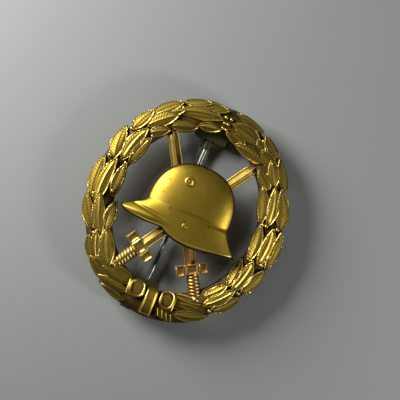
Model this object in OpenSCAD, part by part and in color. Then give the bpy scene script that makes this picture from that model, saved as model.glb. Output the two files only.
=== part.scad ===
// Oval pierced breast badge: hollow wreath, crossed swords, steel helmet and brooch fitting.
// It lies face up. +Z is the front, +Y the top of the badge, and z = 0 the lowest
// points of the hinge and the catch, on which it rests. Millimetres.

/* [Wreath] */
// Width across the outer edge
wreath_w = 39.3; // [32.7:0.1:47.2]
// Height across the outer edge
wreath_h = 43.6; // [36.3:0.1:52.4]
// Width of the band
band_w = 6.2; // [5.1:0.1:7.5]
// Width of the flat ledge along the inner edge
ledge_w = 1.6; // [1.2:0.1:2]
// Thickness of the struck sheet
sheet_t = 0.6; // [0.4:0.05:0.75]

/* [Swords] */
// Lean of the sword whose hilt is at the left, from upright
tilt_left = 32.8; // [27:0.1:39]
// Lean of the sword whose hilt is at the right, from upright
tilt_right = 30.6; // [26:0.1:37]
// Width of the blade
blade_w = 2.1; // [1.7:0.1:2.6]
// Thickness of a sword from its flat back to its ridge
sword_t = 1.2; // [1:0.05:1.5]
// Distance from the crossing to the middle of the guard, with a helmet 24 mm long
guard_drop = 10.3; // [9.8:0.1:11.5]
// Length of the guard
guard_l = 6.1; // [5:0.1:7.3]
// Width of the guard
guard_w = 1.6; // [1.3:0.1:2]
// Radius of the grip
grip_r = 1.1; // [0.9:0.05:1.3]
// Radius of the pommel
pommel_r = 0.9; // [0.7:0.05:1.1]
// Length of the point
point_l = 2.2; // [1.8:0.1:2.8]

/* [Helmet] */
// Clear space between the helmet's two tips and the wreath, at each side
helmet_gap = 1.45; // [1.2:0.05:1.8]
// Relief of the helmet above the swords
helmet_rise = 3.6; // [3:0.1:4.4]

/* [Brooch fitting] */
// Radius of the needle
needle_r = 0.5; // [0.4:0.05:0.6]
// Radius of the needle's root, inside its socket
root_r = 0.3; // [0.25:0.01:0.33]
// Radius of the two barrels that carry the hinge pin
barrel_r = 1.3; // [1.2:0.05:1.6]
// Length of each barrel
barrel_l = 1.8; // [1.5:0.1:2.2]
// Radius of the needle's own knuckle between the barrels
knuckle_r = 1; // [0.85:0.05:1.15]
// Width of the knuckle
knuckle_w = 1.8; // [1.6:0.1:2.2]
// Radius of the hinge pin
pin_r = 0.45; // [0.35:0.05:0.55]
// Radius of the socket that holds the needle
socket_r = 0.85; // [0.75:0.05:0.85]
// Length of the socket from the hinge axis
socket_l = 2.9; // [2.4:0.1:3.5]
// Thickness of the hinge plate and the catch plate
plate_t = 0.6; // [0.5:0.05:0.75]
// Width of the hinge plate
hinge_plate_w = 6.4; // [5.8:0.1:7.7]
// Width of the catch plate
catch_plate_w = 5.2; // [4.4:0.1:6.3]
// Width of the strip that the catch is bent from
hook_w = 2.4; // [2:0.1:2.9]
// Thickness of that strip
hook_t = 0.5; // [0.4:0.05:0.6]
// Sideways place of the hinge
fitting_x = -1.1; // [-1.4:0.1:-0.5]
// Lean of the needle from upright
needle_lean = 1.1; // [0:0.1:2]

/* [Clearances] */
// Running clearance, radial, of the knuckle on its pin and of the needle in its socket
run_fit = 0.05; // [0.03:0.01:0.08]
// Radial clearance of the riveted pin in the barrels
rivet_fit = 0.01; // [0.01:0.01:0.02]
// Gap between the knuckle and the hinge plate
knuckle_gap = 0.1; // [0.05:0.05:0.3]
// Gap round each sword where it lies in the wreath, in its fellow's lap and under the helmet
seat_fit = 0.02; // [0.01:0.01:0.05]

/* [Hidden] */
$fn = 96;

// heights, from the table up
axis_z = barrel_r;
plate_z = axis_z + knuckle_r + knuckle_gap;
back_z = plate_z + plate_t;
sword_z = back_z + sheet_t;
helmet_z = sword_z + sword_t;

// the oval is four tangent arcs that meet on the diagonals
half_w = wreath_w / 2;
half_h = wreath_h / 2;
arc_shift = (half_h - half_w) * (1 + sqrt(0.5));
side_r = half_w + arc_shift;
end_r = half_h - arc_shift;
inner_half_h = half_h - band_w;
rim_w = 0.1;
dome_r = (band_w - ledge_w - rim_w) / 2;
dome_u = ledge_w + dome_r;

// the helmet is drawn 24 mm long and scaled to its place between the two sides of the wreath
helmet_drawn = 24;
helmet_k = (wreath_w - 2 * band_w - 2 * helmet_gap) / helmet_drawn;

// the swords cross under the helmet, and their guards stay clear of its lower edge
cross_at = [0.14 * helmet_k, -0.9 * helmet_k];
guard_at = guard_drop * helmet_k;
tip_lap = ledge_w;
pommel_lap = 2.6;
sword_edge = 0.5;
ridge_w = 0.7;
guard_rise = 0.3;
guard_block = 1.5;
block_over = 0.2;

// hinge, needle and catch share one frame, turned by the needle's lean about the hinge
hinge_inset = 0.2;
hinge_y = inner_half_h - hinge_inset;
plate_inside = 0.6;
plate_margin = 0.6;
head_r = 0.8;
head_t = 0.35;
pin_half = knuckle_w / 2 + run_fit + barrel_l;
catch_in = 1.7;
catch_run = hinge_y + inner_half_h + catch_in;
needle_root = 1;
taper_before = 2.9;
needle_past = 3.2;
shoulder = socket_l + run_fit;
taper_run = catch_run - hook_w / 2 - taper_before;
needle_end = catch_run + needle_past;
needle_tip_r = 0.08;
// catch: the mouth faces -x, and the needle leaves it sideways over a low lip
hook_mouth = 0.7;
hook_back = 1;
lip_w = 0.3;
lip_rise = 0.2;
bend_r = 0.9;

// ---- wreath ----

module band_section() {
    difference() {
        union() {
            translate([dome_u, 0]) circle(dome_r);
            square([dome_u, sheet_t]);
            translate([dome_u, 0]) square([band_w - dome_u, sheet_t]);
        }
        translate([dome_u, 0]) circle(dome_r - sheet_t);
        translate([-1, -2 * band_w]) square([band_w + 2, 2 * band_w]);
    }
}

module band_arc(centre, outer_r, start) {
    translate([centre[0], centre[1], 0]) rotate([0, 0, start])
        rotate_extrude(angle = 90) translate([outer_r - band_w, 0]) band_section();
}

module band() {
    band_arc([-arc_shift, 0], side_r, -45);
    band_arc([0, arc_shift], end_r, 45);
    band_arc([arc_shift, 0], side_r, 135);
    band_arc([0, -arc_shift], end_r, 225);
}

module wreath() {
    color("goldenrod") difference() {
        translate([0, 0, back_z]) band();
        // seats for the two hilts, sunk in the inner flank above the ledge
        for (side = [-1, 1]) in_sword_frame(side)
            translate([-grip_r - seat_fit, -hilt_reach(side) - seat_fit, 0])
                cube([2 * (grip_r + seat_fit), hilt_reach(side) - guard_at, 2 * dome_r]);
    }
}

// ---- swords ----
// A sword's frame has its origin at the crossing and +y along the blade.
// side -1 is the sword whose hilt is at the left, +1 the one whose hilt is at the right.

function tilt(side) = side < 0 ? tilt_left : tilt_right;
function along(side) = [-side * sin(tilt(side)), cos(tilt(side))];

// Distance from the crossing, along a direction, to a circle about c
function to_circle(dir, c, r) =
    let (d = cross_at - c, b = d * dir) -b + sqrt(b * b - d * d + r * r);

// Distance from the crossing to the line that lies lap past the wreath's inner edge
function to_band(dir, lap) =
    let (sy = sign(dir[1]), sx = sign(dir[0]),
         c_end = [0, sy * arc_shift],
         far = to_circle(dir, c_end, end_r - band_w + lap),
         p = cross_at + far * dir - c_end)
    abs(p[1]) >= abs(p[0]) ? far
        : to_circle(dir, [-sx * arc_shift, 0], side_r - band_w + lap);

function tip_reach(side) = to_band(along(side), tip_lap);
function hilt_reach(side) = to_band(-along(side), pommel_lap);

module in_sword_frame(side) {
    translate([cross_at[0], cross_at[1], sword_z])
        rotate([0, 0, side * tilt(side)]) children();
}

module blade(reach) {
    half = blade_w / 2;
    ridge = ridge_w / 2;
    intersection() {
        translate([0, reach, 0]) rotate([90, 0, 0]) linear_extrude(reach + guard_at)
            polygon([[-half, 0], [half, 0], [half, sword_edge], [ridge, sword_t],
                     [-ridge, sword_t], [-half, sword_edge]]);
        linear_extrude(sword_t)
            polygon([[-half, -guard_at], [half, -guard_at], [half, reach - point_l],
                     [0, reach], [-half, reach - point_l]]);
    }
}

module guard() {
    translate([-guard_l / 2, -guard_at - guard_w / 2, 0]) cube([guard_l, guard_w, sword_t]);
    for (x = [-guard_l / 2, -guard_block / 2, guard_l / 2 - guard_block])
        translate([x, -guard_at - guard_w / 2 - block_over, 0])
            cube([guard_block, guard_w + 2 * block_over, sword_t + guard_rise]);
}

// Grip and pommel in one half turn about the sword's axis, on their flat back
module hilt(reach) {
    grip_l = reach - pommel_r - guard_at;
    translate([0, -guard_at, 0]) rotate([90, 0, 0]) rotate_extrude(angle = 180) {
        square([grip_r, grip_l]);
        intersection() {
            translate([0, grip_l]) circle(pommel_r);
            translate([0, grip_l - pommel_r]) square([pommel_r, 2 * pommel_r]);
        }
    }
}

module sword(side) {
    in_sword_frame(side) {
        blade(tip_reach(side));
        guard();
        hilt(hilt_reach(side));
    }
}

// The halved joint: what one sword loses where the other crosses it
module lap_cut(side, z) {
    in_sword_frame(side) translate([-blade_w / 2 - seat_fit, -guard_at / 2, z])
        cube([blade_w + 2 * seat_fit, guard_at, sword_t / 2 + seat_fit]);
}

module sword_left() {
    color("darkgoldenrod") difference() {
        sword(-1);
        lap_cut(1, sword_t / 2);
    }
}

module sword_right() {
    color("peru") difference() {
        sword(1);
        lap_cut(-1, -seat_fit);
    }
}

// ---- helmet ----
// A hollow shell over a star-shaped outline, in the drawn size.

shell_mid = [0.6, 0.4];
skull_r = [8.2, 9.2];
skull_mid = 0.6;
skirt_points = [[-7.9, -0.8], [-9.9, -2], [-11.9, -3.3], [-10, -4.4], [-7, -4.6], [-3, -4.5],
                [-1.4, -5.4], [0.6, -5.9], [3.2, -6.1], [6, -5.8], [9, -5.3], [12.1, -4.8],
                [10.8, -3.4], [9.8, -2.1], [9, -0.9]];
outline = concat([for (a = [0 : 9 : 180]) [skull_mid + skull_r[0] * cos(a), skull_r[1] * sin(a)]],
                 skirt_points);
edge_rise = 0.8;
rings = 6;

// The shell's left and right edges at a height y, which slope out below the skull
function front_x(y) = skull_mid - skull_r[0] + (y < 0 ? 1.3 * max(y, -3.4) : 0);
function neck_x(y) = skull_mid + skull_r[0] - (y < 0 ? 0.7 * max(y, -4.8) : 0);

// Height of the outside: an ellipsoid over the skull, drawn on as a curved skirt below it
function shell_z(p) =
    let (x0 = (front_x(p[1]) + neck_x(p[1])) / 2, w = (neck_x(p[1]) - front_x(p[1])) / 2,
         u = (p[0] - x0) / w, v = max(p[1], 0) / skull_r[1])
    edge_rise + (helmet_rise / helmet_k - edge_rise) * sqrt(max(0, 1 - u * u - v * v));

function ring_point(i, k, inset) =
    let (d = outline[i] - shell_mid, far = norm(d))
    shell_mid + d * (k / rings) * (1 - inset / far);

module shell(wall) {
    n = len(outline);
    outer = [for (k = [1 : rings]) for (i = [0 : n - 1])
             let (p = ring_point(i, k, 0)) [p[0], p[1], shell_z(p)]];
    inner = [for (k = [1 : rings]) for (i = [0 : n - 1])
             let (p = ring_point(i, k, wall)) [p[0], p[1], shell_z(p) - wall]];
    outer_rim = [for (p = outline) [p[0], p[1], 0]];
    inner_rim = [for (i = [0 : n - 1]) let (p = ring_point(i, rings, wall)) [p[0], p[1], 0]];
    apex = [[shell_mid[0], shell_mid[1], shell_z(shell_mid)],
            [shell_mid[0], shell_mid[1], shell_z(shell_mid) - wall]];
    // ring r of the list that runs outside, outer rim, inner rim, inside
    points = concat(outer, outer_rim, inner_rim, [for (k = [rings : -1 : 1]) for (i = [0 : n - 1])
                    inner[(k - 1) * n + i]], apex);
    last = 2 * rings + 1;
    strips = [for (r = [0 : last - 1]) for (i = [0 : n - 1])
              let (j = (i + 1) % n)
              each [[r * n + i, (r + 1) * n + i, (r + 1) * n + j], [r * n + i, (r + 1) * n + j, r * n + j]]];
    caps = [for (i = [0 : n - 1])
            let (j = (i + 1) % n)
            each [[(last + 1) * n, i, j], [(last + 1) * n + 1, last * n + j, last * n + i]]];
    polyhedron(points = points, faces = concat(strips, caps));
}

module helmet() {
    color("darkkhaki") translate([0, 0, helmet_z]) scale(helmet_k) shell(sheet_t / helmet_k);
}

// ---- brooch fitting ----

module in_fitting_frame() {
    translate([fitting_x, hinge_y, 0]) rotate([0, 0, -needle_lean]) children();
}

module across(r, l) {
    translate([-l / 2, 0, axis_z]) rotate([0, 90, 0]) cylinder(r = r, h = l);
}

module hinge_plate() {
    inside = hinge_inset - plate_inside - barrel_r / 2;
    color("olive") in_fitting_frame() {
        translate([-hinge_plate_w / 2, inside, plate_z])
            cube([hinge_plate_w, half_h - plate_margin - hinge_y - inside, plate_t]);
        for (side = [-1, 1]) translate([side * (pin_half - barrel_l / 2), 0, 0]) difference() {
            union() {
                across(barrel_r, barrel_l);
                translate([-barrel_l / 2, -barrel_r, axis_z])
                    cube([barrel_l, 2 * barrel_r, plate_z - axis_z]);
            }
            across(pin_r + rivet_fit, barrel_l + 1);
        }
    }
}

module hinge_pin() {
    color("gray") in_fitting_frame() {
        across(pin_r, 2 * pin_half + 2 * head_t);
        for (side = [-1, 1])
            translate([side * (pin_half + head_t / 2), 0, 0]) across(head_r, head_t);
    }
}

module needle_knuckle() {
    color("darkolivegreen") in_fitting_frame() difference() {
        union() {
            across(knuckle_r, knuckle_w);
            translate([0, 0, axis_z]) rotate([90, 0, 0]) cylinder(r = socket_r, h = socket_l);
        }
        across(pin_r + run_fit, knuckle_w + 1);
        translate([0, -needle_root + run_fit, axis_z]) rotate([90, 0, 0])
            cylinder(r = root_r + run_fit, h = socket_l);
    }
}

module needle() {
    color("silver") in_fitting_frame() translate([0, -needle_root, axis_z]) rotate([90, 0, 0]) {
        cylinder(r = root_r, h = shoulder - needle_root);
        translate([0, 0, shoulder - needle_root])
            cylinder(r = needle_r, h = taper_run - shoulder);
        translate([0, 0, taper_run - needle_root])
            cylinder(r1 = needle_r, r2 = needle_tip_r, h = needle_end - taper_run);
    }
}

module catch_plate() {
    inside = catch_run - catch_in - plate_inside;
    outside = hinge_y + half_h - plate_margin;
    color("olive") in_fitting_frame() translate([-catch_plate_w / 2, -outside, plate_z])
        cube([catch_plate_w, outside - inside, plate_t]);
}

// The strip seen along the needle: top flange, back, foot and lip
module hook_section() {
    out = hook_back + hook_t;
    difference() {
        union() {
            translate([-hook_mouth, 0]) square([hook_mouth + out - bend_r, plate_z]);
            translate([-hook_mouth, bend_r]) square([hook_mouth + out, plate_z - bend_r]);
            translate([out - bend_r, bend_r]) circle(bend_r);
        }
        translate([-hook_mouth - 1, hook_t + lip_rise])
            square([1 + hook_mouth + lip_w, plate_z - 2 * hook_t - lip_rise]);
        translate([-hook_mouth + lip_w, hook_t])
            square([hook_mouth - lip_w + hook_back, plate_z - 2 * hook_t]);
    }
}

module catch_hook() {
    color("darkgoldenrod") in_fitting_frame()
        translate([0, -catch_run + hook_w / 2, 0]) rotate([90, 0, 0]) linear_extrude(hook_w)
            hook_section();
}

wreath();
sword_left();
sword_right();
helmet();
hinge_plate();
hinge_pin();
needle_knuckle();
needle();
catch_plate();
catch_hook();
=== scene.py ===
"""Looks of an oval pierced breast badge: laurel wreath, crossed swords, steel helmet, brooch needle.

Shapes are worked out in millimetres in the badge's own frame (+Z front, +Y top) and stored in metres.
Each mesh carries a "tone" attribute: 0 in the recesses, where tarnish sits, to 1 on the rubbed edges.
On round bars, bosses and the helmet's crease it also carries painted shade.
"""
import math

import bmesh
import bpy
import numpy as np
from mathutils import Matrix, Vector


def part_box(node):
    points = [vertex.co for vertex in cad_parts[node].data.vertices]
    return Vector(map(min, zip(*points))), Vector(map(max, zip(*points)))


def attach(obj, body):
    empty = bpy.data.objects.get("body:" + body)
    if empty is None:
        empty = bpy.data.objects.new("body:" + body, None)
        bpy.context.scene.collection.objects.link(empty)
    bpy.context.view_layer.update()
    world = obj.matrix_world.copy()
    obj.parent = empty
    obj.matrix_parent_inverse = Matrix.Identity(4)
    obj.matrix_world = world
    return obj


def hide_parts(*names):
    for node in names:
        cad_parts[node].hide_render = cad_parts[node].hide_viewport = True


MM = 0.001
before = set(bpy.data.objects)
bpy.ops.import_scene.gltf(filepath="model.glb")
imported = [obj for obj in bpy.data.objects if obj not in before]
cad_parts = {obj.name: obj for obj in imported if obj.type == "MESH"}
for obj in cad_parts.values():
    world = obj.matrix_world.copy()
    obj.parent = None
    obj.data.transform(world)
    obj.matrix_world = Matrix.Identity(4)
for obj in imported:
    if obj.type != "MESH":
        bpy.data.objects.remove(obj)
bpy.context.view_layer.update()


def corners(node):
    """Lowest and highest corner of one of the part's nodes, in millimetres."""
    low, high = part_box(node)
    return np.array(low) / MM, np.array(high) / MM


# ---- sizes, in millimetres ----
wreath_low, wreath_high = corners("wreath")
HALF_W = float(wreath_high[0])
HALF_H = float(wreath_high[1])
BACK_Z = float(wreath_low[2])
BAND_W = 6.2
SHEET = 0.6
SWORD_Z = BACK_Z + SHEET
HELMET_Z = float(corners("helmet")[0][2])
HELMET_TOP = float(corners("helmet")[1][2])
# half width of the rounded face that leaves and ribbons lie on, a little over the band's own
GROUND_HALF = 3.25
# the oval is four tangent arcs that meet on the diagonals
SHIFT = (HALF_H - HALF_W) * (1 + math.sqrt(0.5))
SIDE_R = HALF_W + SHIFT
END_R = HALF_H - SHIFT

# tones of faces that look backwards
UNDER_TONE = 0.36
SWORD_UNDER_TONE = 0.38
CHANNEL_TONE = 0.42

rng = np.random.default_rng(1918)


# ---- mesh building ----

def quads_of(rows, cols, wrap_rows=False, wrap_cols=False):
    """Faces of a grid of points stored row by row; a wrapped direction closes on itself."""
    r = np.arange(rows if wrap_rows else rows - 1)[:, None]
    c = np.arange(cols if wrap_cols else cols - 1)[None, :]
    r1, c1 = (r + 1) % rows, (c + 1) % cols
    return np.stack([r * cols + c, r * cols + c1, r1 * cols + c1, r1 * cols + c], -1).reshape(-1, 4)


def surface(points, tone, wrap_rows=False, wrap_cols=True):
    """A grid of points (rows, cols, 3) with a tone at each, as (points, tones, faces)."""
    rows, cols = points.shape[:2]
    faces = quads_of(rows, cols, wrap_rows, wrap_cols)
    return points.reshape(-1, 3), np.broadcast_to(tone, (rows, cols)).reshape(-1), faces


def joined(parts):
    """Several surfaces as one list of points, tones and faces."""
    points, tones, faces, count = [], [], [], 0
    for p, t, f in parts:
        points.append(p)
        tones.append(t)
        faces.append(f + count)
        count += len(p)
    return np.concatenate(points), np.concatenate(tones), np.concatenate(faces)


# points nearer than this are one point, and shorter edges vanish, in metres
MERGE_AT = 2e-7
SHORT_EDGE = 1e-8


def make_piece(name, parts, material, body="badge", replaces=(), sharp=40):
    """One mesh object from surfaces in millimetres: doubles merged, ends closed, faces outwards.
    Edges that turn by more than the sharp angle, in degrees, stay sharp."""
    points, tones, faces = joined(parts)
    mesh = bpy.data.meshes.new(name)
    mesh.from_pydata((points * MM).tolist(), [], faces.tolist())
    tone = mesh.attributes.new("tone", "FLOAT", "POINT")
    tone.data.foreach_set("value", np.clip(tones, 0, 1).astype(np.float32))
    work = bmesh.new()
    work.from_mesh(mesh)
    bmesh.ops.remove_doubles(work, verts=work.verts, dist=MERGE_AT)
    bmesh.ops.dissolve_degenerate(work, edges=work.edges, dist=SHORT_EDGE)
    bmesh.ops.holes_fill(work, edges=[e for e in work.edges if e.is_boundary], sides=0)
    bmesh.ops.recalc_face_normals(work, faces=work.faces)
    work.to_mesh(mesh)
    work.free()
    mesh.shade_smooth()
    mesh.set_sharp_from_angle(angle=math.radians(sharp))
    mesh.materials.append(material)
    piece = bpy.data.objects.new(name, mesh)
    bpy.context.scene.collection.objects.link(piece)
    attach(piece, body)
    if replaces:
        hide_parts(*replaces)
    return piece


def bump(x, middle, width):
    """A smooth rounded ridge: 1 at the middle, falling as a bell of that width."""
    return np.exp(-((x - middle) / width) ** 2)


def smooth(x, low, high):
    """0 below low, 1 above high, and the S-curve 3t^2 - 2t^3 between."""
    t = np.clip((x - low) / (high - low), 0, 1)
    return t * t * (3 - 2 * t)


# ---- materials ----

# noise scales over a metre, the height of the fine relief in metres, and the ranges of wear and
# painted shade over which deep turns to middle, middle to bright, dull to glossy and tarnish to metal
BLOTCH_SCALE, GRAIN_SCALE = 650, 4200
GRAIN_HEIGHT = 0.00006
DEEP_RANGE, BRIGHT_RANGE, GLOSS_RANGE, METAL_RANGE = (0.05, 0.42), (0.5, 0.92), (0.1, 0.8), (0.05, 0.4)


def socket(group, name, kind, side, value=None):
    """A named input or output of a node group."""
    item = group.interface.new_socket(name=name, in_out=side, socket_type=kind)
    if value is not None:
        item.default_value = value


def worn_and_shaded_metal_group():
    """Tarnish, rubbed metal and painted shade. Wear and shade is tone + shift + mottle x blotches +
    grain x fine noise. It picks deep, middle or bright colour, and the roughness, metal mask and
    fine relief follow it."""
    g = bpy.data.node_groups.new("worn_and_shaded_metal", "ShaderNodeTree")
    for name, value in (("Deep", (0.03, 0.014, 0.006, 1)), ("Middle", (0.3, 0.19, 0.04, 1)),
                        ("Bright", (0.9, 0.7, 0.3, 1))):
        socket(g, name, "NodeSocketColor", "INPUT", value)
    for name, value in (("Tone Shift", 0.0), ("Mottle", 0.3), ("Grain", 0.25),
                        ("Smooth Roughness", 0.28), ("Dull Roughness", 0.6)):
        socket(g, name, "NodeSocketFloat", "INPUT", value)
    socket(g, "Color", "NodeSocketColor", "OUTPUT")
    socket(g, "Roughness", "NodeSocketFloat", "OUTPUT")
    socket(g, "Metal", "NodeSocketFloat", "OUTPUT")
    socket(g, "Normal", "NodeSocketVector", "OUTPUT")
    n, link = g.nodes, g.links.new
    take, give = n.new("NodeGroupInput"), n.new("NodeGroupOutput")
    place = n.new("ShaderNodeTexCoord")
    tone = n.new("ShaderNodeAttribute")
    tone.attribute_name = "tone"

    def noise(scale, detail):
        """Noise on object coordinates."""
        node = n.new("ShaderNodeTexNoise")
        node.inputs["Scale"].default_value = scale
        node.inputs["Detail"].default_value = detail
        link(place.outputs["Object"], node.inputs["Vector"])
        return node.outputs["Fac"]

    def maths(operation, a, b, c=None):
        """One sum of sockets or numbers."""
        node = n.new("ShaderNodeMath")
        node.operation = operation
        for i, value in enumerate((a, b, c)):
            if value is None:
                continue
            if isinstance(value, (int, float)):
                node.inputs[i].default_value = value
            else:
                link(value, node.inputs[i])
        return node.outputs[0]

    def ranged(value, span, to_low, to_high):
        """A value carried smoothly from a span of wear and painted shade to another range."""
        node = n.new("ShaderNodeMapRange")
        node.interpolation_type = "SMOOTHSTEP"
        link(value, node.inputs["Value"])
        for name, v in zip(("From Min", "From Max", "To Min", "To Max"), (*span, to_low, to_high)):
            if isinstance(v, (int, float)):
                node.inputs[name].default_value = v
            else:
                link(v, node.inputs[name])
        return node.outputs["Result"]

    def mixed(factor, a, b):
        """Colour a where the factor is 0 and colour b where it is 1."""
        node = n.new("ShaderNodeMix")
        node.data_type = "RGBA"
        link(factor, node.inputs["Factor"])
        link(a, node.inputs["A"])
        link(b, node.inputs["B"])
        return node.outputs["Result"]

    blotch = maths("SUBTRACT", noise(BLOTCH_SCALE, 3), 0.5)
    grain = maths("SUBTRACT", noise(GRAIN_SCALE, 4), 0.5)
    wear_and_shade = maths("ADD", tone.outputs["Fac"], take.outputs["Tone Shift"])
    wear_and_shade = maths("MULTIPLY_ADD", blotch, take.outputs["Mottle"], wear_and_shade)
    wear_and_shade = maths("MULTIPLY_ADD", grain, take.outputs["Grain"], wear_and_shade)
    low = mixed(ranged(wear_and_shade, DEEP_RANGE, 0, 1), take.outputs["Deep"], take.outputs["Middle"])
    link(mixed(ranged(wear_and_shade, BRIGHT_RANGE, 0, 1), low, take.outputs["Bright"]), give.inputs["Color"])
    link(ranged(wear_and_shade, GLOSS_RANGE, take.outputs["Dull Roughness"], take.outputs["Smooth Roughness"]),
         give.inputs["Roughness"])
    link(ranged(wear_and_shade, METAL_RANGE, 0.45, 1.0), give.inputs["Metal"])
    relief = n.new("ShaderNodeBump")
    relief.inputs["Strength"].default_value = 0.35
    relief.inputs["Distance"].default_value = GRAIN_HEIGHT
    link(maths("MULTIPLY_ADD", grain, 0.6, blotch), relief.inputs["Height"])
    link(relief.outputs["Normal"], give.inputs["Normal"])
    return g


WORN_AND_SHADED_METAL = worn_and_shaded_metal_group()
# heights in millimetres between which the hilt tint sets in
TINT_NONE, TINT_FULL = -2, -7


def metal(name, deep, middle, bright, shift=0.0, mottle=0.3, grain=0.25, smooth_rough=0.28,
          dull_rough=0.6, hilt_tint=None):
    """A metal finish: the worn-and-shaded-metal group with its own colours and values. A hilt tint
    multiplies the colour towards the foot of the badge."""
    material = bpy.data.materials.new(name)
    material.use_nodes = True
    nodes, link = material.node_tree.nodes, material.node_tree.links.new
    shader = nodes["Principled BSDF"]
    group = nodes.new("ShaderNodeGroup")
    group.node_tree = WORN_AND_SHADED_METAL
    values = {"Deep": (*deep, 1), "Middle": (*middle, 1), "Bright": (*bright, 1), "Tone Shift": shift,
              "Mottle": mottle, "Grain": grain, "Smooth Roughness": smooth_rough,
              "Dull Roughness": dull_rough}
    for key, value in values.items():
        group.inputs[key].default_value = value
    colour = group.outputs["Color"]
    if hilt_tint:
        place = nodes.new("ShaderNodeTexCoord")
        split = nodes.new("ShaderNodeSeparateXYZ")
        low = nodes.new("ShaderNodeMapRange")
        tint = nodes.new("ShaderNodeMix")
        low.inputs["From Min"].default_value = TINT_NONE * MM
        low.inputs["From Max"].default_value = TINT_FULL * MM
        tint.data_type = "RGBA"
        tint.blend_type = "MULTIPLY"
        tint.inputs["B"].default_value = (*hilt_tint, 1)
        link(place.outputs["Object"], split.inputs["Vector"])
        link(split.outputs["Y"], low.inputs["Value"])
        link(low.outputs["Result"], tint.inputs["Factor"])
        link(colour, tint.inputs["A"])
        colour = tint.outputs["Result"]
    link(colour, shader.inputs["Base Color"])
    link(group.outputs["Roughness"], shader.inputs["Roughness"])
    link(group.outputs["Metal"], shader.inputs["Metallic"])
    link(group.outputs["Normal"], shader.inputs["Normal"])
    return material


DEEP_BROWN = (0.035, 0.014, 0.005)
leaf_gilt = metal("leaf_gilt", DEEP_BROWN, (0.42, 0.28, 0.035), (0.98, 0.80, 0.26), smooth_rough=0.38)
helmet_gilt = metal("helmet_gilt", DEEP_BROWN, (0.50, 0.325, 0.03), (0.95, 0.75, 0.18), mottle=0.16,
                    grain=0.1, smooth_rough=0.46, dull_rough=0.5)
sword_gilt = metal("sword_gilt", DEEP_BROWN, (0.42, 0.27, 0.045), (0.98, 0.78, 0.28),
                   smooth_rough=0.4)
copper_gilt = metal("copper_gilt", (0.04, 0.014, 0.006), (0.42, 0.265, 0.05), (0.98, 0.77, 0.29),
                    smooth_rough=0.4, hilt_tint=(0.92, 0.8, 0.85))
# plain brass for the back fittings, painted far darker as the shade they lie in behind the wreath
plain_brass_in_painted_shade = metal("plain_brass_in_painted_shade", (0.02, 0.018, 0.008), (0.09, 0.085, 0.035), (0.4, 0.34, 0.16),
                    shift=0.3, smooth_rough=0.4, dull_rough=0.7)
plain_steel = metal("plain_steel", (0.03, 0.03, 0.026), (0.3, 0.3, 0.26), (0.7, 0.7, 0.64), shift=0.5,
                    mottle=0.5, smooth_rough=0.25, dull_rough=0.6)
solder = metal("solder", (0.05, 0.045, 0.035), (0.2, 0.19, 0.16), (0.45, 0.44, 0.4), smooth_rough=0.4)


# ---- wreath ----

def band_offset(x, y):
    """Distance outward from the band's middle line to a point, by the nearer of the tangent arcs,
    and the unit direction outward."""
    ax, ay = np.abs(x), np.abs(y)
    end = ay - SHIFT >= ax
    dx = np.where(end, ax, ax + SHIFT)
    dy = np.where(end, ay - SHIFT, ay)
    far = np.hypot(dx, dy)
    t = far - np.where(end, END_R, SIDE_R) + BAND_W / 2
    return t, np.sign(x) * dx / far, np.sign(y) * dy / far


def pressed(x, y, limit=3.2, start=2.75):
    """Draws points that lie far out back towards the band, so that no leaf passes the oval's edge."""
    t, nx, ny = band_offset(x, y)
    room = limit - start
    over = np.maximum(t - start, 0)
    shift = over - room * np.tanh(over / room)
    return x - shift * nx, y - shift * ny


def band_z(t, half=BAND_W / 2, edge=0.45, rise=1.35):
    """Height of the band's rounded face: flat on top and steep at its two edges."""
    return BACK_Z + edge + rise * (1 - np.clip(np.abs(t) / half, 0, 1) ** 2.6)


def ground_z(x, y):
    """Height of the face that leaves, berries and ribbons lie on, at a point."""
    t, _, _ = band_offset(x, y)
    return band_z(t, half=GROUND_HALF)


def band_parts():
    """The hollow band: the middle line turned through four arcs, carrying a domed channel section.
    It stays inside the leaves' tips, except at the foot, where its plain edge shows. Below, a flat
    ledge runs round the inner side and a hollow, high as 1 less a cube, round the outer."""
    turns, columns = 480, 31
    # the section's edges, outward from the middle line: inner, outer below leaves, outer at the foot
    inner, tucked, bare = -2.7, 2.35, 3.0
    # how far in from those edges the underside starts, and its hollow's height, middle, half width
    wall, hollow, hollow_t, hollow_half = 0.5, 1.1, 0.85, 1.25
    angle = np.linspace(0, 2 * np.pi, turns, endpoint=False)
    outer = tucked + (bare - tucked) * smooth(-np.sin(angle), 0.72, 0.88)[:, None]
    quarter = np.floor((angle + np.pi / 4) / (np.pi / 2)).astype(int) % 4
    centre = np.array([[-SHIFT, 0], [0, SHIFT], [SHIFT, 0], [0, -SHIFT]])[quarter]
    far = np.array([SIDE_R, END_R, SIDE_R, END_R])[quarter] - BAND_W / 2
    outward = np.stack([np.cos(angle), np.sin(angle)], -1)
    line = centre + far[:, None] * outward
    middle, half = (inner + outer) / 2, (outer - inner) / 2
    face = np.sin(np.linspace(-np.pi / 2, np.pi / 2, columns))
    top_t = middle + half * face[None, :]
    top_z = band_z(top_t, half=bare) - 0.5 * smooth(np.abs(face), 0.93, 1)[None, :]
    low_t = middle + (half - wall) * np.linspace(1, -1, columns)[None, :]
    low_z = BACK_Z + hollow * np.maximum(1 - np.abs((low_t - hollow_t) / hollow_half) ** 3, 0)
    foot = np.full((turns, 1), BACK_Z)
    t = np.concatenate([top_t[:, :1], top_t, top_t[:, -1:], low_t], 1)
    z = np.concatenate([foot, top_z, foot, low_z], 1)
    tone = np.concatenate([[0.1], 0.2 - 0.1 * face ** 2, [0.1], np.full(columns, CHANNEL_TONE)])
    flat = line[:, None, :] + t[..., None] * outward[:, None, :]
    return [surface(np.concatenate([flat, z[..., None]], -1), tone[None, :], wrap_rows=True)]


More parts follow.
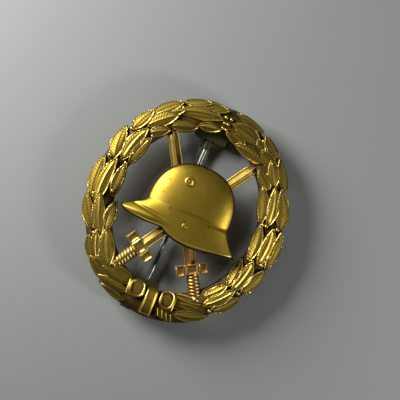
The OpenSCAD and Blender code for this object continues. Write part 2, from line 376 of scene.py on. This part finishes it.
# One leaf each: base x, y, tip x, y, width. The leaves of a branch run from the bow to the top.
LEFT_LEAVES = [
    (-12.4, -15.6, -15.3, -11.1, 2.3), (-12.2, -14.8, -14.2, -9.6, 2.0), (-9.5, -15.0, -12.5, -8.5, 3.3),
    (-15.2, -9.8, -18.8, -3.8, 2.6), (-13.2, -10.2, -16.2, -2.9, 2.7), (-12.6, -9.0, -12.9, -3.3, 2.3),
    (-17.7, -4.2, -18.2, 4.0, 2.7), (-16.3, -5.0, -15.9, 4.4, 3.0), (-14.0, -2.6, -13.9, 4.2, 2.2),
    (-16.6, 4.2, -16.8, 10.8, 3.0), (-14.9, 4.6, -12.6, 11.9, 2.9), (-13.4, 4.4, -11.3, 10.6, 2.2),
    (-15.4, 10.6, -12.9, 15.6, 2.5), (-12.9, 12.4, -8.2, 16.4, 3.0), (-12.1, 11.2, -8.6, 13.2, 2.2),
    (-12.7, 15.0, -8.3, 19.1, 2.7), (-10.4, 15.8, -7.4, 17.8, 1.7), (-8.8, 14.0, -3.9, 15.6, 2.2),
    (-8.1, 19.2, -3.1, 21.0, 2.0), (-8.2, 17.2, 0.0, 18.8, 2.8), (-4.4, 19.6, 0.4, 20.9, 2.1),
    (-4.0, 16.1, 0.3, 16.8, 1.9),
]
RIGHT_LEAVES = [
    (5.4, -18.7, 11.7, -16.8, 2.2),
    (12.0, -15.5, 15.9, -11.0, 2.5), (10.2, -14.9, 14.6, -10.0, 2.6), (9.6, -13.4, 12.9, -9.6, 2.0),
    (15.9, -10.1, 18.3, -4.4, 2.7), (14.1, -10.1, 15.6, -3.7, 2.8), (12.8, -9.9, 13.3, -3.9, 2.2),
    (18.2, -4.1, 18.4, 3.8, 2.3), (16.6, -3.8, 16.7, 3.6, 2.8), (14.5, -4.0, 14.1, 3.6, 2.2),
    (17.9, 3.8, 15.2, 11.0, 2.8), (15.4, 3.8, 13.9, 11.0, 2.5), (13.9, 3.6, 11.7, 10.2, 2.3),
    (15.9, 11.0, 12.6, 16.4, 2.6), (13.7, 11.0, 11.2, 15.4, 2.4), (12.5, 13.8, 8.7, 16.3, 2.5),
    (13.0, 9.9, 9.6, 12.8, 2.3),
    (12.2, 16.2, 8.4, 19.3, 2.6), (9.4, 16.2, 7.2, 18.0, 1.6), (9.4, 14.0, 3.6, 15.5, 2.2),
    (7.6, 19.8, 1.8, 21.0, 2.1), (8.0, 17.2, 1.8, 18.9, 2.8), (5.6, 15.8, 1.2, 16.8, 1.9),
]
# the leaves beside the bow, rubbed nearly flat
WORN_LEAVES = [
    (-4.6, -18.2, -10.8, -17.6, 2.3), (-4.6, -16.6, -10.6, -15.6, 2.4), (-4.5, -20.0, -10.5, -19.0, 1.6),
    (-8.9, -16.0, -12.6, -14.4, 2.2), (-8.8, -17.8, -13.6, -14.8, 2.2), (-4.4, -15.6, -8.6, -14.6, 1.5),
]
# x, y of the berries between the leaves; the last six fill the gap where the branches meet
BERRIES = [
    (-14.1, 4.1), (-14.4, -1.8), (-17.5, -3.6), (-17.5, 4.3), (-14.5, -10.5), (-11.4, 10.8),
    (-8.0, 18.1), (-15.6, 10.6), (14.6, 3.4), (15.3, 3.4), (17.5, 3.6), (14.6, -3.7),
    (15.3, -3.7), (17.4, -3.8), (15.3, -10.5), (12.4, 9.9), (8.5, 18.1), (11.6, -15.7),
    (0.2, 19.5), (1.3, 19.5), (0.3, 18.4), (1.0, 18.4), (0.4, 17.4), (1.1, 17.3),
]
# rows along a leaf, columns over its face and columns under it
LEAF_ROWS, LEAF_FACE, LEAF_UNDER = 58, 27, 7
# radius that a leaf's middle line bends to
LEAF_BEND_R = 17.5
# gap from vein to vein along a leaf, and how far outward a vein slants back by one gap
VEIN_GAP, VEIN_SLANT = 0.56, 0.9


def leaf(base_x, base_y, tip_x, tip_y, width, relief=1.0):
    """A laurel leaf that lies on the band: half width is a sine along its length, its middle line
    bows outward with the wreath, and its height is a crown across, a raised edge, a midrib and
    slanting veins, all but the crown scaled by relief. Each row runs over the face and back under."""
    a = np.linspace(0, 1, LEAF_ROWS)[:, None]
    face = np.sin(np.linspace(-np.pi / 2, np.pi / 2, LEAF_FACE))
    under = np.linspace(0.98, -0.98, LEAF_UNDER)
    v = np.concatenate([face, under])[None, :]
    top = np.concatenate([np.ones(LEAF_FACE), np.zeros(LEAF_UNDER)])[None, :]
    base, tip = np.array([base_x, base_y]), np.array([tip_x, tip_y])
    base, tip = base - 0.07 * (tip - base), tip + 0.02 * (tip - base)
    length = np.hypot(*(tip - base))
    along = (tip - base) / length
    across = np.array([-along[1], along[0]])
    if across @ (base + tip) < 0:
        across = -across
    half = (0.5 * width + 0.12) * np.sin(np.pi * a ** 0.92) ** 0.7 * (0.98 + 0.05 * rng.random())
    bow = length ** 2 * a * (1 - a) / (2 * LEAF_BEND_R)
    x = base[0] + a * length * along[0] + (bow + v * half) * across[0]
    y = base[1] + a * length * along[1] + (bow + v * half) * across[1]
    x, y = pressed(x, y)
    ground = ground_z(x, y)
    reach = np.abs(v)
    wall = reach * half
    rim = bump(wall, np.maximum(half - 0.22, 0.1), 0.13) * smooth(half, 0.1, 0.4)
    groove = bump(wall, np.maximum(half - 0.46, 0), 0.14)
    rib = bump(v * half, 0, 0.12) * smooth(a, 0.04, 0.2) * smooth(1 - a, 0.05, 0.2)
    slant = a * length / VEIN_GAP - wall / VEIN_SLANT + 0.12 * np.sin(9 * a + width)
    veins = np.cos(2 * np.pi * slant) * 0.5 + 0.5
    inside = 1 - smooth(wall, half - 0.45, half - 0.25)
    vein_area = smooth(wall, 0.12, 0.3) * inside * smooth(a, 0.06, 0.2)
    crown = (0.22 + 0.05 * width) * (1 - reach ** 3)
    lift = 0.02 + 0.34 * a - 0.1 * bump(a, 1, 0.1)
    height = crown + lift + relief * (0.2 * rim + 0.16 * rib - 0.06 * groove + 0.04 * veins * vein_area)
    depth = np.maximum(BACK_Z + 0.02, ground - 0.35)
    z = np.where(top > 0, ground + height * smooth(a, -0.02, 0.08) * smooth(1 - a, -0.02, 0.05), depth)
    marks = 0.56 * rim + 0.45 * rib - 0.12 * groove + 0.3 * (veins - 0.5) * vein_area
    edge_dirt = (0.3 + 0.6 * relief) * smooth(wall, half - 0.12, half - 0.02)
    base_dirt = 0.3 * (1 - smooth(a, 0, 0.2))
    tone = 0.62 - 0.29 * relief + relief * marks - edge_dirt - base_dirt
    tone = np.where(top > 0, tone, UNDER_TONE)
    points = np.stack([x, y, z], -1)
    for row in (0, -1):
        points[row] = points[row].mean(0)
    return surface(points, tone)


def dome(x, y, z, radius, height, tone=0.85, dimple=0.0):
    """A round boss: a half ellipsoid on a short wall, dimpled in the middle when asked. It is painted
    darker from its top towards its edge as shade.
    """
    rings = np.linspace(0, 1, 10)[:, None]
    turn = np.linspace(0, 2 * np.pi, 20, endpoint=False)[None, :]
    r = radius * np.concatenate([np.sin(rings * np.pi / 2), [[1.0]], [[0.0]]])
    h = np.concatenate([height * (np.cos(rings * np.pi / 2) - dimple * bump(rings, 0, 0.35)),
                        [[-0.5]], [[-0.5]]])
    points = np.stack([x + r * np.cos(turn), y + r * np.sin(turn), z + h + 0 * turn], -1)
    shade = np.concatenate([tone - 0.35 * rings, [[0.1]], [[0.1]]])
    return surface(points, shade)


def berry(x, y):
    """A small dome that stands a little over the band."""
    return dome(x, y, float(ground_z(np.array(x), np.array(y))) + 0.25, 0.40, 0.42, tone=0.8)


# ---- bow at the foot of the wreath ----

# x, y of the knot's top and foot
KNOT = (0.3, -15.9, 0.3, -21.2)
# each loop: x, y of its middle, the ring's half width and half height, and the hollow's radius
LOOPS = ((-2.8, -17.0, 1.4, 1.4, 1.35), (3.4, -16.85, 1.25, 1.5, 1.25))
# the ribbon down each loop's outer side: x, y of its top and foot, and its width
LOOP_SIDES = ((-3.65, -15.6, -3.55, -18.95, 2.2), (4.05, -15.5, 4.05, -18.9, 1.9))
# x, y of the stems below the right loop
STEMS = ((2.4, -19.7), (3.3, -19.8), (4.2, -19.9), (5.1, -19.9))
# the frayed end: y of each strand's two ends, the x where they all start, and how far the first runs
STRANDS = ((-15.2, -14.6), (-15.8, -15.5), (-16.5, -16.2), (-17.2, -17.0), (-17.8, -17.9))
STRAND_X, STRAND_RUN = 4.7, 5.2


def tube(path, radius, flat=1.0, tone=0.8, sides=14, closed=False):
    """A round bar along a path of points: at each point a ring across the path's direction, whose
    height is scaled by the flat factor. It is painted darker down its sides and underside as shade,
    as 1 less the ring's sine, so that its top looks lit."""
    path = np.asarray(path, float)
    if closed:
        step = np.roll(path, -1, 0) - np.roll(path, 1, 0)
    else:
        step = np.gradient(path, axis=0)
    step /= np.linalg.norm(step, axis=1)[:, None]
    side = np.cross([0, 0, 1.0], step)
    side /= np.linalg.norm(side, axis=1)[:, None]
    rise = np.cross(step, side)
    turn = np.linspace(0, 2 * np.pi, sides, endpoint=False)
    size = np.broadcast_to(radius, len(path))[:, None, None]
    ring = (np.cos(turn)[None, :, None] * side[:, None, :]
            + flat * np.sin(turn)[None, :, None] * rise[:, None, :])
    points = path[:, None, :] + size * ring
    shade = tone - 0.5 * (1 - np.clip(np.sin(turn), 0, 1))[None, :]
    return surface(points, shade, wrap_rows=closed)


def ribbon(path, width, edge=0.16, thick=0.5, lip=0.22, tone=0.4):
    """A flat strip along a path in x, y, laid over the wreath: its face dips between two raised
    edges, which are bells across it, and thins towards both ends."""
    path = np.asarray(path, float)
    step = np.gradient(path, axis=0)
    step /= np.linalg.norm(step, axis=1)[:, None]
    side = np.stack([-step[:, 1], step[:, 0]], -1)
    face = np.linspace(-1, 1, 21)
    v = np.concatenate([face, face[::-4]])
    top = np.concatenate([np.ones(21), np.zeros(len(face[::-4]))])
    half = np.broadcast_to(width / 2, len(path))[:, None]
    flat = path[:, None, :] + (v[None, :] * half)[:, :, None] * side[:, None, :]
    ground = ground_z(flat[..., 0], flat[..., 1])
    share = np.linspace(0, 1, len(path))
    ends = smooth(share, 0, 0.08) * smooth(1 - share, 0, 0.08)
    rim = bump(np.abs(v), 0.84, 0.13)[None, :]
    rise = (thick + lip * rim - edge * (np.abs(v) ** 8)[None, :]) * (0.25 + 0.75 * ends[:, None])
    z = np.where(top[None, :] > 0, ground + rise, ground - 0.3)
    shade = np.where(top[None, :] > 0, tone + 0.4 * rim - 0.3 * (np.abs(v) > 0.97)[None, :], 0.05)
    return surface(np.concatenate([flat, z[..., None]], -1), np.broadcast_to(shade, z.shape))


def over_band(x, y, above):
    """Points over the band's face at a height above it."""
    return np.stack([x, y, ground_z(np.asarray(x, float), np.asarray(y, float)) + above], -1)


def straight(x0, y0, x1, y1, count=24):
    """Evenly spaced points from one x, y to another."""
    s = np.linspace(0, 1, count)
    return np.stack([x0 + (x1 - x0) * s, y0 + (y1 - y0) * s], -1)


def loop_ring(x, y, half_x, half_y, radius=0.27):
    """The open end of a ribbon loop: round bar along a squared ellipse, whose sine and cosine are
    raised to a power below one."""
    turn = np.linspace(0, 2 * np.pi, 56, endpoint=False)
    cos, sin = np.cos(turn), np.sin(turn)
    across, up = np.sign(cos) * np.abs(cos) ** 0.7, np.sign(sin) * np.abs(sin) ** 0.7
    return tube(over_band(x + half_x * across, y + half_y * up, 0.8), radius, flat=1.2, tone=0.72,
                closed=True)


def loop_floor(x, y, radius):
    """The hollow of a loop, seen through its ring: a nearly flat dome."""
    ground = float(over_band(np.array([x]), np.array([y]), 0.0)[0, 2])
    return dome(x, y, ground + 0.7, radius, 0.02, tone=0.42)


def bow_parts():
    """Knot over the band, ring, hollow and side ribbon of each loop, the stems as short slanting
    bars, and the frayed end as strands that sway as a sine and taper."""
    parts = [ribbon(straight(*KNOT, 40), 2.3, thick=0.8, lip=0.3)]
    parts += [loop_ring(x, y, half_x, half_y) for x, y, half_x, half_y, _ in LOOPS]
    parts += [loop_floor(x, y, radius) for x, y, _, _, radius in LOOPS]
    parts += [ribbon(straight(*ends), width, thick=0.45, lip=0.0) for *ends, width in LOOP_SIDES]
    for x, y in STEMS:
        x_line = x + np.array([-0.3, -0.1, 0.1, 0.3])
        y_line = y + np.array([0.7, 0.25, -0.25, -0.7])
        parts.append(tube(over_band(x_line, y_line, 0.1), 0.38, flat=0.9, tone=0.55))
    s = np.linspace(0, 1, 24)
    for k, (y0, y1) in enumerate(STRANDS):
        x_line = STRAND_X + (STRAND_RUN - 0.2 * k) * s
        y_line = y0 + (y1 - y0) * s + 0.12 * np.sin(5 * s + 2 * k)
        parts.append(tube(over_band(x_line, y_line, -0.05), 0.36 - 0.08 * s, flat=0.8, tone=0.42))
    return parts


for name, parts in (("wreath_band", band_parts()),
                    ("leaves_left", [leaf(*row) for row in LEFT_LEAVES]),
                    ("leaves_right", [leaf(*row) for row in RIGHT_LEAVES]),
                    ("berries", [berry(*row) for row in BERRIES]),
                    ("worn_leaves", [leaf(*row, relief=0.35) for row in WORN_LEAVES]),
                    ("ribbon_bow", bow_parts())):
    make_piece(name, parts, leaf_gilt, replaces=("wreath",))


# ---- swords ----

# the swords' crossing, and the distance from it to the middle of each guard
CROSS = np.array([0.14, -0.9])
GUARD_DROP = 10.3
GUARD_L = 6.2
GUARD_HALF_W = 1.0
MIDDLE_BLOCK_L = 2.5
END_BLOCK_L = 1.75
# heights of the guard's middle block, its end blocks and the bar that joins them
MIDDLE_H, END_H, BAR_H = 1.5, 1.45, 1.1
BLADE_W = 2.35
POINT_L = 1.8
# heights of the two blades' flat backs, which lie clear of each other where they cross
BLADE_BACKS = {-1: 0.05, 1: 0.09}
GRIP_R = 1.08
# gap from turn to turn of the grip's wire
WINDING = 0.66
POMMEL_R, POMMEL_H = 0.85, 0.95


def in_sword_frame(points, side, tilt):
    """From a sword's own frame (origin at the crossing, +y along the blade) to the badge's: a turn
    by the tilt, to the left for side +1 and to the right for side -1, then a shift."""
    a = math.radians(side * tilt)
    x, y, z = points[..., 0], points[..., 1], points[..., 2]
    return np.stack([CROSS[0] + x * math.cos(a) - y * math.sin(a),
                     CROSS[1] + x * math.sin(a) + y * math.cos(a), SWORD_Z + z], -1)


def blade(low, high, back):
    """A blade: its half width holds, then closes to the point; across it rise a sharp middle ridge
    and two rubbed edges over shallow hollows. Its flat back lies a little above the sword's plane."""
    straight_part = np.linspace(low, high - POINT_L, 30)
    point_part = high - POINT_L * np.linspace(0.93, 0, 16)
    y = np.concatenate([straight_part, point_part])[:, None]
    face = np.linspace(-1, 1, 31)
    v = np.concatenate([face, face[::-5]])[None, :]
    top = np.concatenate([np.ones(31), np.zeros(len(face[::-5]))])[None, :]
    half = BLADE_W / 2 * np.clip((high - y) / POINT_L, 0, 1) ** 0.8
    reach = np.abs(v)
    ridge = bump(v, 0, 0.16)
    edge = bump(reach, 0.88, 0.12)
    z = 0.42 + 0.42 * (1 - reach ** 1.4) + 0.34 * ridge + 0.16 * edge
    fade = 0.35 + 0.65 * np.clip((high - y) / POINT_L, 0, 1) ** 0.6
    z = np.where(top > 0, z * fade, back)
    worn = 0.5 + 0.4 * ridge + 0.45 * edge - 0.3 * smooth(reach, 0.96, 1)
    tone = np.where(top > 0, worn, SWORD_UNDER_TONE)
    points = np.stack([v * half, y + 0 * v, z], -1)
    return surface(points, np.broadcast_to(tone, z.shape))


def framed_block(x0, x1, y0, y1, high, back=0.0, dot=False):
    """A low block: its top is a grid whose height steps down from a raised border to a sunk panel,
    with a boss in the panel when asked, and whose outermost points drop to the back."""
    u = np.array([-1, -1, -0.93, -0.8, -0.6, -0.35, 0, 0.35, 0.6, 0.8, 0.93, 1, 1])
    gx, gy = np.meshgrid((x0 + x1) / 2 + u * (x1 - x0) / 2, (y0 + y1) / 2 + u * (y1 - y0) / 2)
    near = np.maximum(np.abs(u)[None, :], np.abs(u)[:, None])
    rim = smooth(near, 0.5, 0.78)
    z = high - 0.22 * (1 - rim) - 0.12 * smooth(near, 0.9, 1)
    if dot:
        z = z + 0.2 * bump(np.hypot(u[None, :], u[:, None]), 0, 0.3)
    outer = np.zeros_like(z, bool)
    outer[[0, -1], :] = True
    outer[:, [0, -1]] = True
    z = np.where(outer, back, z)
    tone = np.where(outer, 0.3, 0.28 + 0.6 * rim)
    return surface(np.stack([gx, gy, z], -1), tone, wrap_cols=False)


def grip(low, high):
    """A wire-wound grip: a half-round bar whose radius is a sine along it, fuller in the middle,
    plus a cosine that slants round it as the winding."""
    y = np.linspace(low, high, 90)[:, None]
    turn = np.linspace(0, np.pi, 29)
    cos, sin = np.cos(turn)[None, :], np.sin(turn)[None, :]
    share = (y - low) / (high - low)
    wound = np.cos(2 * np.pi * ((y - low) / WINDING + 0.4 * cos)) * 0.5 + 0.5
    r = GRIP_R + 0.1 * np.sin(np.pi * share) + 0.1 * wound
    x = r * cos
    back = 0.03
    z = np.maximum(1.15 * r * sin, back)
    tone = 0.28 + 0.55 * wound
    under = np.linspace(-1, 1, 5)[None, 1:-1]
    x = np.concatenate([x, under + 0 * y], 1)
    z = np.concatenate([z, back + 0 * under + 0 * y], 1)
    tone = np.concatenate([tone, np.full((len(y), 3), SWORD_UNDER_TONE)], 1)
    return surface(np.stack([x, y + 0 * x, z], -1), tone)


def sword_parts(side, tilt, tip, hilt_end):
    """Blade, guard of three framed blocks, wound grip and pommel, turned into the badge's frame."""
    low, high = -GUARD_DROP - GUARD_HALF_W, -GUARD_DROP + GUARD_HALF_W
    end, middle = GUARD_L / 2, MIDDLE_BLOCK_L / 2
    parts = [blade(-GUARD_DROP, tip, BLADE_BACKS[side]),
             framed_block(-middle, middle, low, high, MIDDLE_H, dot=True),
             framed_block(-end, END_BLOCK_L - end, low - 0.12, high + 0.12, END_H),
             framed_block(end - END_BLOCK_L, end, low - 0.12, high + 0.12, END_H),
             framed_block(-2.0, 2.0, low + 0.3, high - 0.3, BAR_H, back=0.02),
             grip(-hilt_end + 1.1, -GUARD_DROP - 0.9),
             dome(0, -hilt_end + 0.75, 0.55, POMMEL_R, POMMEL_H)]
    return [(in_sword_frame(p, side, tilt), t, f) for p, t, f in parts]


def reach_from(node, tilt):
    """How far the point and the pommel lie from the crossing, from the node's own box."""
    low, high = corners(node)
    lean = math.cos(math.radians(tilt))
    return (high[1] - CROSS[1]) / lean, (CROSS[1] - low[1]) / lean


for node, side, tilt, finish, slot in (("sword_left", -1, 32.8, sword_gilt, "gilt_brass"),
                                       ("sword_right", 1, 30.6, copper_gilt, "copper_gilt")):
    tip, hilt_end = reach_from(node, tilt)
    make_piece(node + "_relief", sword_parts(side, tilt, tip, hilt_end), finish, replaces=(node,))


# ---- helmet ----

# the skull's half width and height, its middle, and the power that squares its outline
SKULL_R = (8.4, 9.3)
SKULL_X = 0.6
SQUARE = 0.87
# how fast the skull's height falls off towards its outline
FALL = 2.6
# the point from which the shell's rays start, and the height of its edge over the rim
HUB = np.array([0.6, 0.4])
EDGE_RISE = 0.8
# how far the visor's outline and the neck's slope out for each millimetre down, and down to where
VISOR_SLOPE, VISOR_LOW = 1.3, -3.4
NECK_SLOPE, NECK_LOW = 0.7, -4.8
LUG_AT = (-1.45, 5.55)
RIVET_AT = (1.0, -2.6)
# small dark pits in the gilding: x, y, size
PITS = ((-2.8, -0.4, 0.28), (-5.2, 1.9, 0.2), (-5.0, 4.6, 0.22), (5.2, -1.0, 0.35), (0.6, -1.9, 0.3),
        (-0.9, 5.0, 0.3), (3.4, 2.2, 0.15), (6.1, 4.4, 0.2))


def through(points, count):
    """A smooth curve through points: Catmull-Rom, with one more point mirrored past each end."""
    p = np.asarray(points, float)
    p = np.concatenate([2 * p[:1] - p[1:2], p, 2 * p[-1:] - p[-2:-1]])
    t = np.linspace(0, len(points) - 1, count, endpoint=False)
    i = np.minimum(t.astype(int), len(points) - 2)
    s = (t - i)[:, None]
    a, b, c, d = p[i], p[i + 1], p[i + 2], p[i + 3]
    square, cube = (2 * a - 5 * b + 4 * c - d) * s ** 2, (3 * b - a - 3 * c + d) * s ** 3
    return 0.5 * (2 * b + (c - a) * s + square + cube)


def helmet_outline():
    """Skull as half a superellipse, then the visor, the lower edge and the neck guard as four curves."""
    turn = np.radians(np.linspace(0, 180, 90, endpoint=False))
    skull = np.stack([SKULL_X + SKULL_R[0] * np.sign(np.cos(turn)) * np.abs(np.cos(turn)) ** SQUARE,
                      SKULL_R[1] * np.sin(turn) ** SQUARE], -1)
    brow, peak, step, nape = (-7.6, 0), (-11.9, -3.2), (-3, -4.5), (12.1, -4.85)
    visor_top = through([brow, (-8.1, -0.9), (-9.9, -2.0), peak], 40)
    visor_low = through([peak, (-11.6, -3.75), (-10, -4.3), (-7, -4.6), step], 40)
    skirt = through([step, (-1.5, -5.4), (0.6, -5.95), (3.2, -6.1), (6, -5.85), (9, -5.35), nape], 70)
    neck = through([nape, (10.8, -3.5), (9.8, -2.2), (9.05, -1.0), (8.8, 0)], 40)
    return np.concatenate([skull, visor_top, visor_low, skirt, neck])


def shell_z(x, y):
    """Height of the outside over the helmet's rim plane: a squared ellipsoid over the skull,
    carried on below as a skirt that flares, with a crease where they meet and a rolled visor."""
    left = SKULL_X - SKULL_R[0] + np.where(y < 0, VISOR_SLOPE * np.maximum(y, VISOR_LOW), 0)
    right = SKULL_X + SKULL_R[0] - np.where(y < 0, NECK_SLOPE * np.maximum(y, NECK_LOW), 0)
    middle, half = (left + right) / 2, (right - left) / 2
    u = np.clip(np.abs((x - middle) / half), 0, 1)
    v = np.clip(np.maximum(y, 0) / SKULL_R[1], 0, 1)
    full = HELMET_TOP - HELMET_Z
    body = np.maximum(1 - u ** FALL - v ** FALL, 0) ** 0.5
    z = EDGE_RISE + (full - EDGE_RISE) * body
    crease = bump(y, -0.35, 0.4) * smooth(x, -3.5, 4.0)
    flare = 0.1 * smooth(-y, 0.6, 5.5) * smooth(x, -5, 2)
    visor = smooth(-x, 1.5, 6.0) * smooth(-y, 1.2, 2.4)
    roll = 0.28 * bump(y, -3.35, 0.75) * visor - 0.22 * bump(y, -2.2 - 0.12 * (x + 8), 0.3) * visor
    return z - 0.12 * crease + flare + roll


def helmet_parts():
    """A hollow shell on rays from the hub to the outline, whose points draw together towards the edge
    as a sine: the outside with a bead along its lower edge, the rim, and the inside a sheet below."""
    outline = helmet_outline()
    share = np.sin(np.linspace(0, np.pi / 2, 90))
    rays = outline - HUB
    far = np.hypot(rays[:, 0], rays[:, 1])
    inner = rays * (1 - SHEET / far)[:, None]
    outside = HUB + share[:, None, None] * rays
    inside = HUB + share[::-3, None, None] * inner
    z_out = shell_z(outside[..., 0], outside[..., 1])
    z_in = np.maximum(shell_z(inside[..., 0], inside[..., 1]) - SHEET, 0.05)
    flat = np.concatenate([outside, outside[-1:], HUB + inner[None], inside], 0)
    y = outside[..., 1]
    bottom = smooth(-y, 3.5, 5.0)
    bead = 0.13 * bump(share, 0.92, 0.022)[:, None] * bottom
    round_off = (0.22 + 0.4 * bottom) * smooth(share, 0.945, 1)[:, None]
    z = np.concatenate([z_out + bead - round_off, 0 * z_out[-1:], 0 * z_out[-1:], z_in], 0)
    near_edge = smooth(share[:, None], 0.955 - 0.03 * bottom, 0.975)
    rubbed = bump(share, 0.915, 0.02)[:, None] * bottom
    # painted shade along the crease between skull and skirt, then dark pits in the gilding
    shade_and_pits = 0.58 - 0.12 * bump(y, -0.55, 0.3) * smooth(outside[..., 0], -6, 1)
    for x_pit, y_pit, size in PITS:
        shade_and_pits = shade_and_pits - 0.5 * bump(np.hypot(outside[..., 0] - x_pit, y - y_pit), 0, size)
    tone_out = shade_and_pits - 0.62 * near_edge + 0.5 * rubbed
    tone = np.concatenate([tone_out, np.full((2 + len(inside), len(outline)), UNDER_TONE)], 0)
    points = np.concatenate([flat, z[..., None] + HELMET_Z], -1)
    return [surface(points, tone)]


def vent_lug(x, y):
    """The side lug: rings over the skull, raised by a bell near the edge and one at the middle,
    with a groove between them."""
    rings = np.array([0, 0.12, 0.22, 0.32, 0.42, 0.55, 0.68, 0.8, 0.9, 0.98, 1.02, 1.04])[:, None]
    turn = np.linspace(0, 2 * np.pi, 36, endpoint=False)[None, :]
    up = 0.25 * bump(rings, 0.72, 0.2) + 0.12 * bump(rings, 0, 0.2) - 0.1 * bump(rings, 0.4, 0.12)
    px, py = x + 1.0 * rings * np.cos(turn), y + 1.0 * rings * np.sin(turn)
    z = HELMET_Z + shell_z(px, py) + up - 0.25 * smooth(rings, 0.96, 1.04)
    tone = 0.2 + 0.7 * bump(rings, 0.7, 0.18) + 0.2 * bump(rings, 0, 0.15)
    last = np.stack([px[-1], py[-1], z[-1] - 0.3], -1)[None]
    points = np.concatenate([np.stack([px, py, z], -1), last])
    tones = np.broadcast_to(np.concatenate([tone, [[0.0]]]), points.shape[:2])
    return surface(points, tones)


make_piece("helmet_shell", helmet_parts(), helmet_gilt, replaces=("helmet",))
make_piece("vent_lug", [vent_lug(*LUG_AT)], helmet_gilt)
rivet_z = HELMET_Z + float(shell_z(*np.array(RIVET_AT)))
make_piece("strap_rivet", [dome(*RIVET_AT, rivet_z - 0.05, 0.62, 0.2, tone=0.75, dimple=0.5)],
           helmet_gilt)


# ---- brooch fitting: its nodes carry their own shape ----

def finish_node(node, material):
    """Gives a node its finish. Its mesh carries no tone, so the material's tone shift alone sets its
    colour and roughness.
    """
    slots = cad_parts[node].data.materials
    slots.clear()
    slots.append(material)


for node in ("hinge_plate", "needle_knuckle", "catch_plate", "catch_hook"):
    finish_node(node, plain_brass_in_painted_shade)
for node in ("hinge_pin", "needle"):
    finish_node(node, plain_steel)


def solder_seam(node, end):
    """A bead of solder round the three outer sides of a plate, where it meets the wreath's back; its
    radius sways as the product of two sines. The end is +1 for the plate at the top and -1 for the
    one at the foot."""
    low, high = corners(node)
    y_out = high[1] if end > 0 else low[1]
    y_in = end * (HALF_H - BAND_W + 0.5)
    marks = [(low[0], y_in), (low[0], y_out), (high[0], y_out), (high[0], y_in)]
    path = np.concatenate([straight(*a, *b, 30)[:-1] for a, b in zip(marks, marks[1:])])
    wobble = 0.34 + 0.07 * np.sin(np.arange(len(path)) * 0.55) * np.sin(np.arange(len(path)) * 0.23)
    points = np.concatenate([path, np.full((len(path), 1), BACK_Z - 0.05)], -1)
    return tube(points, wobble, flat=0.9, tone=0.75)


make_piece("solder_seams", [solder_seam("hinge_plate", 1), solder_seam("catch_plate", -1)], solder)


# ---- floor, lights and camera ----

# the badge lies turned in the view; VIEW_MM is what the view spans at the wreath's back, round AIM
TURN = math.radians(23)
VIEW_MM = 76.9
AIM = (1.69 * MM, 3.10 * MM)
LENS, FILM = 100.0, 36.0
FLOOR_HALF = 0.6
# direction, distance (m), size (m) and power (W) of each lamp
LAMPS = {
    "window": ((-0.75, 0.67, 0.5), 0.19, 0.09, 0.57),
    "right_card": ((0.9, -0.5, 0.52), 0.19, 0.035, 0.14),
    "ceiling": ((-0.2, 0.3, 1.0), 0.4, 0.1, 0.02),
}


def plain_material(name, colour, roughness):
    """One colour and roughness all over."""
    material = bpy.data.materials.new(name)
    material.use_nodes = True
    shader = material.node_tree.nodes["Principled BSDF"]
    shader.inputs["Base Color"].default_value = (*colour, 1)
    shader.inputs["Roughness"].default_value = roughness
    return material


def floor():
    """A plain pale square that the badge lies on."""
    mesh = bpy.data.meshes.new("floor")
    s = FLOOR_HALF
    mesh.from_pydata([(-s, -s, 0), (s, -s, 0), (s, s, 0), (-s, s, 0)], [], [(0, 1, 2, 3)])
    mesh.materials.append(plain_material("floor_paper", (0.335, 0.345, 0.33), 0.7))
    plane = bpy.data.objects.new("floor", mesh)
    bpy.context.scene.collection.objects.link(plane)


def area_light(name, direction, distance, size, power):
    """A square soft light in a direction from the badge, facing it. Directions are the camera's:
    +x right, +y up, +z towards it. A turn by TURN brings them to the badge's frame."""
    x, y, z = np.array(direction, float) / np.linalg.norm(direction)
    cos, sin = math.cos(TURN), math.sin(TURN)
    spot = np.array([x * cos - y * sin, x * sin + y * cos, z])
    light = bpy.data.lights.new(name, "AREA")
    light.shape = "SQUARE"
    light.size = size
    light.energy = power
    lamp = bpy.data.objects.new(name, light)
    bpy.context.scene.collection.objects.link(lamp)
    lamp.location = spot * distance
    lamp.rotation_euler = Vector(-spot).to_track_quat("-Z", "Y").to_euler()


def studio():
    """A dim white surround and the lamps."""
    world = bpy.data.worlds.new("studio")
    world.use_nodes = True
    background = world.node_tree.nodes["Background"]
    background.inputs["Color"].default_value = (1, 1, 1, 1)
    background.inputs["Strength"].default_value = 0.01
    bpy.context.scene.world = world
    for name, lamp in LAMPS.items():
        area_light(name, *lamp)
    bpy.context.scene.view_settings.view_transform = "Standard"


def camera():
    """A long lens straight above AIM, at the distance where VIEW_MM fills the film."""
    lens = bpy.data.cameras.new("camera")
    lens.lens = LENS
    lens.sensor_width = FILM
    eye = bpy.data.objects.new("camera", lens)
    bpy.context.scene.collection.objects.link(eye)
    distance = VIEW_MM * MM * LENS / FILM
    eye.location = (*AIM, distance + BACK_Z * MM)
    eye.rotation_euler = (0, 0, TURN)
    bpy.context.scene.camera = eye


floor()
studio()
camera()
